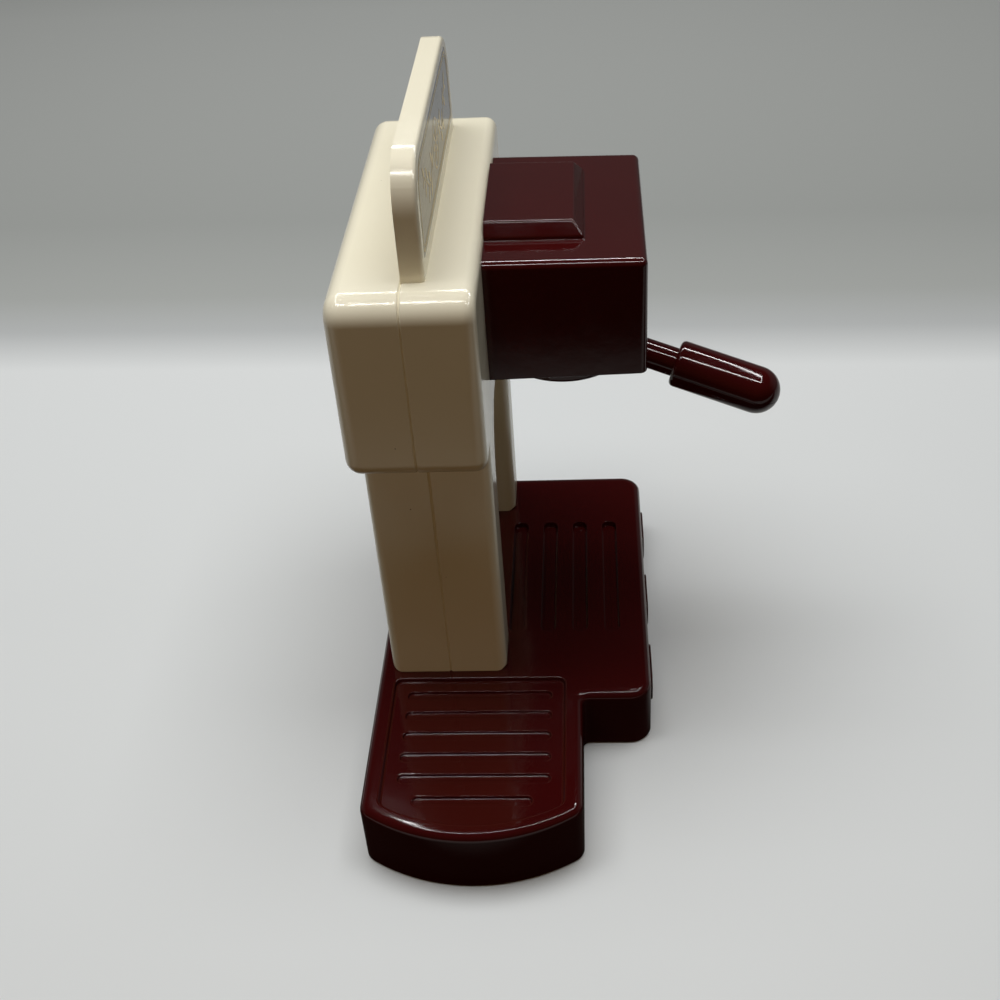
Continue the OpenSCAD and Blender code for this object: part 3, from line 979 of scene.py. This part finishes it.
    def _cores(self) -> list[list[Arc]]:
        """Gives the outlines of the pockets behind the sign, each larger by its lip."""
        lip, corner = self.core_lip, self.core_corner
        low, high = self.head_top + self.core_above_head, self.sign_top - self.sign_wall
        foot, head = (self.sign_half(z) - self.sign_wall * self.core_slant + lip for z in (low, high))
        low, high, gap = low - lip, high + lip, self.rib / 2 - lip
        cells = [slab_corners(a + gap, low, b - gap, high, corner)
                 for a, b in zip(self.ribs_at, self.ribs_at[1:])]
        side, bend = self.ribs_at[-1] + gap, self.sign_corner - self.core_crest_in
        cells.append(rounded((side, low, corner), (foot, low, corner), (head, high, bend),
                             (side, high, corner)))
        cells.append(rounded((-foot, low, corner), (-side, low, corner), (-side, high, corner),
                             (-head, high, bend)))
        return cells


@dataclass
class SignLabel:
    """The printed label in the sign: brown film with a gold double border and a running leaf ornament.

    A frame line is its distance from the film's edge and its width.
    """

    palette: Palette
    tower: Tower
    face: float = 8.2
    film: float = 0.45
    film_gap: float = 0.15
    film_corner: float = 2.9
    film_edge: float = 0.1
    ink: float = 0.05
    frame_lines: tuple[tuple[float, float], ...] = ((1.6, 0.8), (3.1, 0.4))
    frame_corner: float = 2.6
    middle: float = 234.3
    stem_from: float = 12.0
    stem_length: float = 34.0
    stem_width: float = 1.3
    wave_height: float = 4.4
    leaves: int = 8
    leaf_from: float = 14.0
    leaf_pitch: float = 4.2
    leaf_off: float = 3.1
    leaf_turn: float = 0.9
    leaf_half: float = 3.5
    leaf_width: float = 0.42
    leaf_taper: float = 0.5
    ring_radius: float = 9.2
    ring_width: float = 0.8
    heart_radius: float = 1.3
    petals: int = 8
    petal_at: float = 4.7
    petal_half: float = 2.7

    def build(self) -> None:
        """Builds the film and the print on it."""
        bm = bmesh.new()
        arcs = self.tower.label_corners(self.film_gap, self.film_corner)
        face = push(bm, outline_face(bm, arcs, self.face - self.film), self.film)
        soften(bm, face.edges, self.film_edge, 2)
        place(bm, Facing.FRONT)
        finish_piece(bm, "label_film", Body.MACHINE, self.palette.film, ["sign_label"])
        ink = bmesh.new()
        for margin, width in self.frame_lines:
            self._frame_line(ink, margin, width)
        for side in (-1, 1):
            self._vine(ink, side)
        self._rosette(ink)
        place(ink, Facing.FRONT)
        finish_piece(ink, "label_print", Body.MACHINE, self.palette.gold)

    def _frame_line(self, bm: BMesh, margin: float, width: float) -> None:
        """Adds one line of the border.

        Args:
            bm: The print's mesh.
            margin: Distance from the film's edge.
            width: Width of the line.
        """
        arcs = self.tower.label_corners(margin, self.frame_corner)
        open_face(bm, inset(bm, outline_face(bm, arcs, self.face + self.ink, SMALL_SAG), width))

    def _vine(self, bm: BMesh, side: int) -> None:
        """Adds a wavy stem with pairs of leaves.

        Args:
            bm: The print's mesh.
            side: 1 for the right half, -1 for the left.
        """
        stem = bmesh.ops.create_grid(bm, x_segments=60, y_segments=1, size=0.5)["verts"]
        for v in stem:
            across = self.stem_from + (v.co.x + 0.5) * self.stem_length
            up = self._wave(across) + v.co.y * self.stem_width
            v.co = Vector((side * across, up, self.face + self.ink)) * MM
        for i in range(self.leaves):
            across, way = self.leaf_from + i * self.leaf_pitch, 1 if i % 2 else -1
            up = self._wave(across) + way * self.leaf_off
            self._leaf(bm, (side * across, up), side * way * self.leaf_turn, self.leaf_half)

    def _wave(self, across: float) -> float:
        """Height of the stem at a distance from the label's middle."""
        return self.middle + self.wave_height * math.sin(across / self.stem_length * math.tau)

    def _leaf(self, bm: BMesh, middle: tuple[float, float], turn: float, length: float) -> None:
        """Adds one leaf: a disc pressed to a pointed oval.

        Args:
            bm: The print's mesh.
            middle: Its middle.
            turn: Its angle.
            length: Its half length.
        """
        leaf = bmesh.ops.create_circle(bm, cap_ends=True, segments=16, radius=length * MM)["verts"]
        for v in leaf:
            v.co.y *= self.leaf_width * (1 - (v.co.x / (length * MM)) ** 2 * self.leaf_taper)
        turned = (Matrix.Translation(Vector((*middle, self.face + self.ink)) * MM)
                  @ Matrix.Rotation(turn, 4, "Z"))
        bmesh.ops.transform(bm, matrix=turned, verts=leaf)

    def _rosette(self, bm: BMesh) -> None:
        """Adds the ring and petals in the middle.

        Args:
            bm: The ink's mesh.
        """
        middle = Matrix.Translation(Vector((0, self.middle, self.face + self.ink)) * MM)
        ring = bmesh.ops.create_circle(bm, cap_ends=True, segments=64, radius=self.ring_radius * MM,
                                       matrix=middle)
        open_face(bm, inset(bm, ring["verts"][0].link_faces[0], self.ring_width))
        bmesh.ops.create_circle(bm, cap_ends=True, segments=24, radius=self.heart_radius * MM, matrix=middle)
        for i in range(self.petals):
            angle = i * math.tau / self.petals
            x, y = self.petal_at * math.cos(angle), self.petal_at * math.sin(angle)
            self._leaf(bm, (x, self.middle + y), angle, self.petal_half)


# ---- the brew group --------------------------------------------------------


@dataclass
class BrewGroup:
    """The burgundy box on the head's front with the raised panel on its top.

    draft is how much wider and how much higher the box is at the head than in front.
    """

    palette: Palette
    half: float = 45.5
    front: float = -83.5
    rear: float = -25.5
    bottom: float = 161.5
    top: float = 207.7
    edge: float = 2.6
    top_edge: float = 2.5
    top_ring: float = 2.58
    foot_edge: float = 0.7
    wall: float = 2.2
    hollow: float = 5.0
    panel_half: float = 28.4
    panel_front: float = -61.4
    panel_lip: float = 1.3
    panel_slope: float = 3.6
    panel_rise: float = 5.9
    panel_margin: float = 1.2
    panel_edge: float = 0.6
    draft: tuple[float, float] = (0.017, 0.036)
    spare: float = 30.0
    panel_spare: float = 22.0

    def build(self) -> None:
        """Builds the housing a little too deep and cuts it where it meets the head."""
        bm = bmesh.new()
        back = self.rear + self.spare
        arcs = rounded((-self.half, self.front, self.edge), (self.half, self.front, self.edge),
                       (self.half, back, 0), (-self.half, back, 0))
        foot = outline_face(bm, arcs, self.bottom)
        top = push(bm, foot, self.top - self.bottom)
        walls = sides_of(top)
        inset(bm, top, self.top_ring)
        push(bm, inset(bm, foot, self.wall), self.hollow)
        rims = edges_at(walls, self.top), edges_at(walls, self.bottom)
        self._panel(bm)
        open_face(bm, top)
        fill_level(bm, self.top)
        soften(bm, rims[0], self.top_edge, 6)
        soften(bm, rims[1], self.foot_edge, 3)
        middle, (wider, higher) = (self.top + self.bottom) / 2 * MM, self.draft
        for v in bm.verts:
            share = (v.co.y / MM - self.front) / (self.rear - self.front)
            v.co.x *= 1 + wider * share
            v.co.z += (v.co.z - middle) * higher * share
        cut = bmesh.ops.bisect_plane(bm, geom=bm.verts[:] + bm.edges[:] + bm.faces[:], dist=ON_CUT,
                                     plane_co=(0, self.rear * MM, 0), plane_no=(0, 1, 0), clear_outer=True)
        bmesh.ops.edgeloop_fill(bm, edges=[g for g in cut["geom_cut"] if isinstance(g, BMEdge)])
        finish_piece(bm, "group_housing", Body.MACHINE, self.palette.burgundy, ["group_cover"])

    def _panel(self, bm: BMesh) -> None:
        """Raises the panel: a low upright lip, then a slope up to its flat top.

        Args:
            bm: The housing's mesh.
        """
        margin, back = self.panel_margin, self.rear + self.panel_spare
        x, y = self.panel_half + margin, self.panel_front - margin
        arcs = slab_corners(-x, y, x, back, 0)
        crown = push(bm, inset(bm, outline_face(bm, arcs, self.top), margin), self.panel_lip)
        lip = sides_of(crown)
        inset(bm, crown, self.panel_slope, self.panel_rise - self.panel_lip)
        edges = dict.fromkeys(e for f in lip + sides_of(crown) for e in f.edges)
        soften(bm, edges, self.panel_edge, 5)


# ---- the portafilter -------------------------------------------------------


@dataclass
class Portafilter:
    """The turning bowl, its neck and the two-part grip."""

    palette: Palette
    pivot: tuple[float, float] = (0.0, -52.5)
    bowl: float = 25.0
    bowl_bottom: float = 145.0
    bowl_rim: float = 161.2
    bowl_wall: float = 2.2
    bowl_edges: tuple[float, ...] = (1.6, 0.6, 0.4, 1.2)
    hub: float = 6.0
    hub_collar: float = 8.5
    hub_top: float = 168.6
    hub_edges: tuple[float, ...] = (1.0, 0.3, 0.4)
    axis_height: float = 156.5
    turn: float = 15.0
    drop: float = 14.5
    neck: float = 5.7
    neck_from: float = 21.0
    neck_into_grip: float = 4.0
    grip: float = 9.3
    grip_from: float = 46.4
    grip_to: float = 89.0
    grip_shoulder: float = 2.0
    grip_seam: float = 0.12

    def build(self) -> None:
        """Builds the bowl with its neck, and both halves of the grip."""
        bm = bmesh.new()
        inside, floor = self.bowl - self.bowl_wall, self.bowl_bottom + self.bowl_wall
        foot, rim, inner_rim, inner_foot = self.bowl_edges
        root, collar, tip = self.hub_edges
        lathe(bm, [(0, self.bowl_bottom, 0), (self.bowl, self.bowl_bottom, foot),
                   (self.bowl, self.bowl_rim, rim), (inside, self.bowl_rim, inner_rim),
                   (inside, floor, inner_foot),
                   (self.hub_collar, floor, root), (self.hub_collar, self.bowl_rim, collar),
                   (self.hub, self.bowl_rim, 0), (self.hub, self.hub_top, tip), (0, self.hub_top, 0)], 120)
        bmesh.ops.translate(bm, vec=Vector((*self.pivot, 0)) * MM, verts=bm.verts[:])
        rod, start, end = bmesh.new(), self.neck_from, self.grip_from + self.neck_into_grip
        lathe(rod, [(0, start, 0), (self.neck, start, 0), (self.neck, end, 0), (0, end, 0)], 64)
        bmesh.ops.transform(rod, matrix=self._handle(), verts=rod.verts[:])
        join(bm, rod)
        finish_piece(bm, "portafilter_bowl", Body.PORTAFILTER, self.palette.burgundy,
                     ["portafilter_body"])
        self._grip_half("grip_top_half", "grip_upper", 0.0)
        self._grip_half("grip_bottom_half", "grip_lower", math.pi)

    def _handle(self) -> Matrix:
        """Gives the matrix that lays an upright piece along the handle's axis."""
        return (Matrix.Translation(Vector((*self.pivot, self.axis_height)) * MM)
                @ Matrix.Rotation(math.radians(-self.turn), 4, "Z")
                @ Matrix.Rotation(math.radians(90 + self.drop), 4, "X"))

    def _grip_half(self, name: str, node: str, start: float) -> None:
        """Builds one half of the grip.

        Args:
            name: The piece's name.
            node: The CAD node that it stands for.
            start: Angle where it starts round the handle's axis.
        """
        bm = bmesh.new()
        lathe(bm, [(0, self.grip_from, 0), (self.grip, self.grip_from, self.grip_shoulder),
                   (self.grip, self.grip_to, self.grip), (0, self.grip_to, 0)], 48, math.pi)
        bmesh.ops.rotate(bm, verts=bm.verts[:], matrix=Matrix.Rotation(start, 3, "Z"))
        seam = [e for e in bm.edges if len(e.link_faces) == 2 and all(abs(v.co.y) < ON_PLANE for v in e.verts)
                and e.calc_face_angle(0) > 1 and any(abs(v.co.x) > ON_PLANE for v in e.verts)]
        soften(bm, seam, self.grip_seam, 1)
        bmesh.ops.transform(bm, matrix=self._handle(), verts=bm.verts[:])
        finish_piece(bm, name, Body.PORTAFILTER, self.palette.burgundy, [node])


# ---- carried-over parts ----------------------------------------------------


@dataclass
class CarriedParts:
    """The parts whose CAD shape is right: closing plates, screws and washers."""

    palette: Palette
    plates: tuple[str, ...] = ("base_plate", "group_plate")
    steel: tuple[str, ...] = ("base_screws", "post_screws", "shell_screws", "group_screws",
                              "group_plate_screws", "spring_washer", "pivot_washer", "pivot_screw")

    def dress(self) -> None:
        """Gives each part its finish."""
        for names, finish in ((self.plates, self.palette.burgundy), (self.steel, self.palette.steel)):
            for name in names:
                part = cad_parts[name]
                part.data.materials.clear()
                part.data.materials.append(finish)
                LOG.info("%s: dressed in %s", name, finish.name)


# ---- the studio ------------------------------------------------------------


@dataclass(frozen=True)
class Panel:
    """One soft light: where it hangs, what it looks at, its size and its power."""

    name: str
    at: tuple[float, float, float]
    towards: tuple[float, float, float]
    size: tuple[float, float]
    power: float
    colour: str = "#FFFFFF"
    diffuse: bool = True
    glossy: bool = True

    def hang(self) -> None:
        """Makes the light."""
        data = bpy.data.lights.new(self.name, "AREA")
        data.shape = "RECTANGLE"
        data.size, data.size_y = self.size
        data.energy = self.power
        data.color = linear(self.colour)[:3]
        light = add_object(self.name, data)
        light.location = self.at
        light.rotation_euler = (Vector(self.towards) - Vector(self.at)).to_track_quat("-Z", "Y").to_euler()
        light.visible_diffuse = self.diffuse
        light.visible_glossy = self.glossy
        light.visible_camera = False


@dataclass
class Studio:
    """Floor, lights, surroundings and camera. Lengths here are in metres.

    The camera's colour run is the floor along its slanted run to the far end: pale board near the toy, then
    painted shade that greys it like a backdrop in shade. The mirrored run is painted reflection: the floor's
    colour from left to middle as the toy's faces mirror it, dark and grey bands in place of the pale board.
    To bounced light the floor is dimmer, with painted shade that darkens it towards the left. A range has its
    start and its end.
    """

    floor_half: float = 6.0
    floor_roughness: float = 0.6
    slant: float = -0.0365
    # Pale board near the toy, then painted shade: greyer bands further off stand in for a backdrop in shade.
    floor_and_painted_shade: tuple[tuple[float, str], ...] = ((0.0, "#DEE1E1"), (0.22, "#E6E9E9"), (0.245, "#D2D5D5"),
                                             (0.265, "#BFC2C2"), (0.31, "#B0B3B0"), (0.42, "#A8ABA8"),
                                             (0.9, "#C6C9C6"))
    # Painted reflection: dark and grey bands that the toy's faces mirror in place of the pale floor.
    painted_reflection: tuple[tuple[float, str], ...] = ((0.32, "#1C160F"), (0.46, "#A9AAA7"), (0.6, "#A9AAA7"),
                                               (0.67, "#1C160F"), (0.85, "#1C160F"), (0.95, "#C8CAC8"))
    painted_reflection_range: tuple[float, float] = (-0.5, 0.0)
    # Painted shade: to bounced light the floor is dimmer than it looks, and dark towards the left.
    painted_bounce_colour: str = "#8C8D8A"
    painted_shade_colour: str = "#1C160F"
    painted_shade_range: tuple[float, float] = (-0.12, -0.05)
    left_colour: str = "#2A1F12"
    right_colour: str = "#5A5B5A"
    side_range: tuple[float, float] = (-0.5, 0.3)
    ceiling_colour: str = "#1E1D1C"
    ceiling_range: tuple[float, float] = (0.46, 0.62)
    eye: tuple[float, float, float] = (-0.461954, -0.063759, 0.427833)
    right: tuple[float, float, float] = (0.044124, -0.997227, -0.059923)
    up: tuple[float, float, float] = (0.614481, -0.020202, 0.788673)
    lens: float = 48.09
    frame_height: float = 0.3425
    frame_ends: tuple[float, float] = (-0.104, 0.078)
    frame_sides: tuple[float, float] = (-0.2, 0.075)
    frame_width: float = 0.006
    frame_aim: float = 0.15
    frame_powers: tuple[float, float, float] = (0.32, 0.21, 0.1)
    key: Panel = Panel("key", (0.1, 0.09, 1.4), (0.1, 0.08, 0.0), (0.8, 1.5), 20.5, glossy=False)
    fill: Panel = Panel("fill_left", (-1.2, 0.0, 0.5), (0.0, 0.0, 0.12), (0.8, 0.8), 1.22, "#FFCF92",
                        glossy=False)

    def build(self) -> None:
        """Sets up the whole studio."""
        self._floor()
        self._surroundings()
        self._lights()
        self._camera()
        bpy.context.scene.view_settings.view_transform = "Standard"
        LOG.info("studio: floor, lights and camera")

    def _floor(self) -> None:
        """Lays the floor: pale board, greyed far off and dark for bounced light to the left by painted shade.
        """
        bm = bmesh.new()
        bmesh.ops.create_grid(bm, x_segments=8, y_segments=8, size=self.floor_half)
        mesh = bpy.data.meshes.new("floor")
        bm.to_mesh(mesh)
        bm.free()
        mesh.materials.append(self._board())
        floor = add_object("floor", mesh)

    def _board(self) -> bpy.types.Material:
        """Makes the floor's material: matt painted board; its colour holds painted shade and painted
        reflections.
        """
        material, tree = blank_material("matt_board_painted_shade")
        where = add_node(tree, "TexCoord").outputs["Object"]
        split = add_node(tree, "SeparateXYZ", {0: where})
        slant = add_node(tree, "Math", {0: split.outputs["Y"], 1: self.slant, 2: split.outputs["X"]},
                         operation="MULTIPLY_ADD")
        reach = add_node(tree, "MapRange", {"Value": slant.outputs[0], "From Max": 1.0})
        # Camera colour: pale board near the toy, then the painted shade of a backdrop further off.
        shade = add_node(tree, "ValToRGB", {0: reach.outputs[0]}, self.floor_and_painted_shade)
        # Painted reflection: the floor's colour for mirrored rays, dark and grey bands from left to middle.
        start, end = self.painted_reflection_range
        across = add_node(tree, "MapRange", {"Value": split.outputs["X"], "From Min": start, "From Max": end})
        painted_reflection = add_node(tree, "ValToRGB", {0: across.outputs[0]}, self.painted_reflection)
        # Painted shade: bounced light from the floor fades to dark towards the left.
        start, end = self.painted_shade_range
        near = add_node(tree, "MapRange", {"Value": split.outputs["X"], "From Min": start, "From Max": end},
                        interpolation_type="SMOOTHSTEP")
        path = add_node(tree, "LightPath")
        soft = add_node(tree, "Mix", {SHARE: near.outputs[0], FIRST: self.painted_shade_colour,
                                      SECOND: self.painted_bounce_colour}, data_type="RGBA")
        painted_ray_colour = add_node(tree, "Mix", {SHARE: path.outputs["Is Glossy Ray"], FIRST: soft.outputs[MIXED],
                                         SECOND: painted_reflection.outputs[0]}, data_type="RGBA")
        colour = add_node(tree, "Mix", {SHARE: path.outputs["Is Camera Ray"], FIRST: painted_ray_colour.outputs[MIXED],
                                        SECOND: shade.outputs[0]}, data_type="RGBA")
        shader = add_node(tree, "BsdfPrincipled", {"Base Color": colour.outputs[MIXED],
                                                   "Roughness": self.floor_roughness})
        add_node(tree, "OutputMaterial", {"Surface": shader.outputs[0]})
        return material

    def _surroundings(self) -> None:
        """Makes the room: grey all round for the eye; for reflections dark above and to the left."""
        world = bpy.data.worlds.new("studio_room")
        bpy.context.scene.world = world
        world.use_nodes = True
        tree = world.node_tree
        tree.nodes.clear()
        ray = add_node(tree, "SeparateXYZ", {0: add_node(tree, "TexCoord").outputs["Generated"]})
        start, end = self.side_range
        side = add_node(tree, "MapRange", {"Value": ray.outputs["X"], "From Min": start, "From Max": end},
                        interpolation_type="SMOOTHSTEP")
        low = add_node(tree, "Mix", {SHARE: side.outputs[0], FIRST: self.left_colour,
                                     SECOND: self.right_colour}, data_type="RGBA")
        start, end = self.ceiling_range
        high = add_node(tree, "MapRange", {"Value": ray.outputs["Z"], "From Min": start, "From Max": end},
                        interpolation_type="SMOOTHSTEP")
        room = add_node(tree, "Mix", {SHARE: high.outputs[0], FIRST: low.outputs[MIXED],
                                      SECOND: self.ceiling_colour}, data_type="RGBA")
        path = add_node(tree, "LightPath")
        # The camera sees the backdrop's last painted shade all round.
        colour = add_node(tree, "Mix", {SHARE: path.outputs["Is Camera Ray"], FIRST: room.outputs[MIXED],
                                        SECOND: self.floor_and_painted_shade[-1][1]}, data_type="RGBA")
        glow = add_node(tree, "Background", {"Color": colour.outputs[MIXED]})
        add_node(tree, "OutputWorld", {"Surface": glow.outputs[0]})

    def _lights(self) -> None:
        """Hangs the soft key light, the thin lamp frame that draws the edges, and a weak warm fill."""
        self.key.hang()
        h, (near, far), (right, left) = self.frame_height, self.frame_ends, self.frame_sides
        middle, centre = (near + far) / 2, (right + left) / 2
        far_power, near_power, side_power = self.frame_powers
        for name, at, towards, long, power in (
                ("lamp_far", (far, centre, h), (0.0, centre, self.frame_aim), left - right, far_power),
                ("lamp_near", (near, centre, h), (0.0, centre, self.frame_aim), left - right, near_power),
                ("lamp_right", (middle, right, h), (middle, right, 0.0), far - near, side_power),
                ("lamp_left", (middle, left, h), (middle, left, 0.0), far - near, side_power)):
            Panel(name, at, towards, (long, self.frame_width), power, diffuse=False).hang()
        self.fill.hang()

    def _camera(self) -> None:
        """Places the camera."""
        data = bpy.data.cameras.new("camera")
        data.lens = self.lens
        data.sensor_width = 36.0
        data.clip_start = 0.01
        camera = add_object("camera", data)
        right, up = Vector(self.right), Vector(self.up)
        turned = Matrix((right, up, right.cross(up))).transposed().to_4x4()
        camera.matrix_world = Matrix.Translation(self.eye) @ turned
        bpy.context.scene.camera = camera


def main() -> None:
    """Builds the toy and its studio."""
    logging.basicConfig(level=logging.INFO, format="%(message)s")
    palette = Palette()
    tower = Tower(palette)
    Base(palette).build()
    tower.build()
    SignLabel(palette, tower).build()
    BrewGroup(palette).build()
    Portafilter(palette).build()
    CarriedParts(palette).dress()
    Studio().build()


if __name__ == "__main__":
    main()
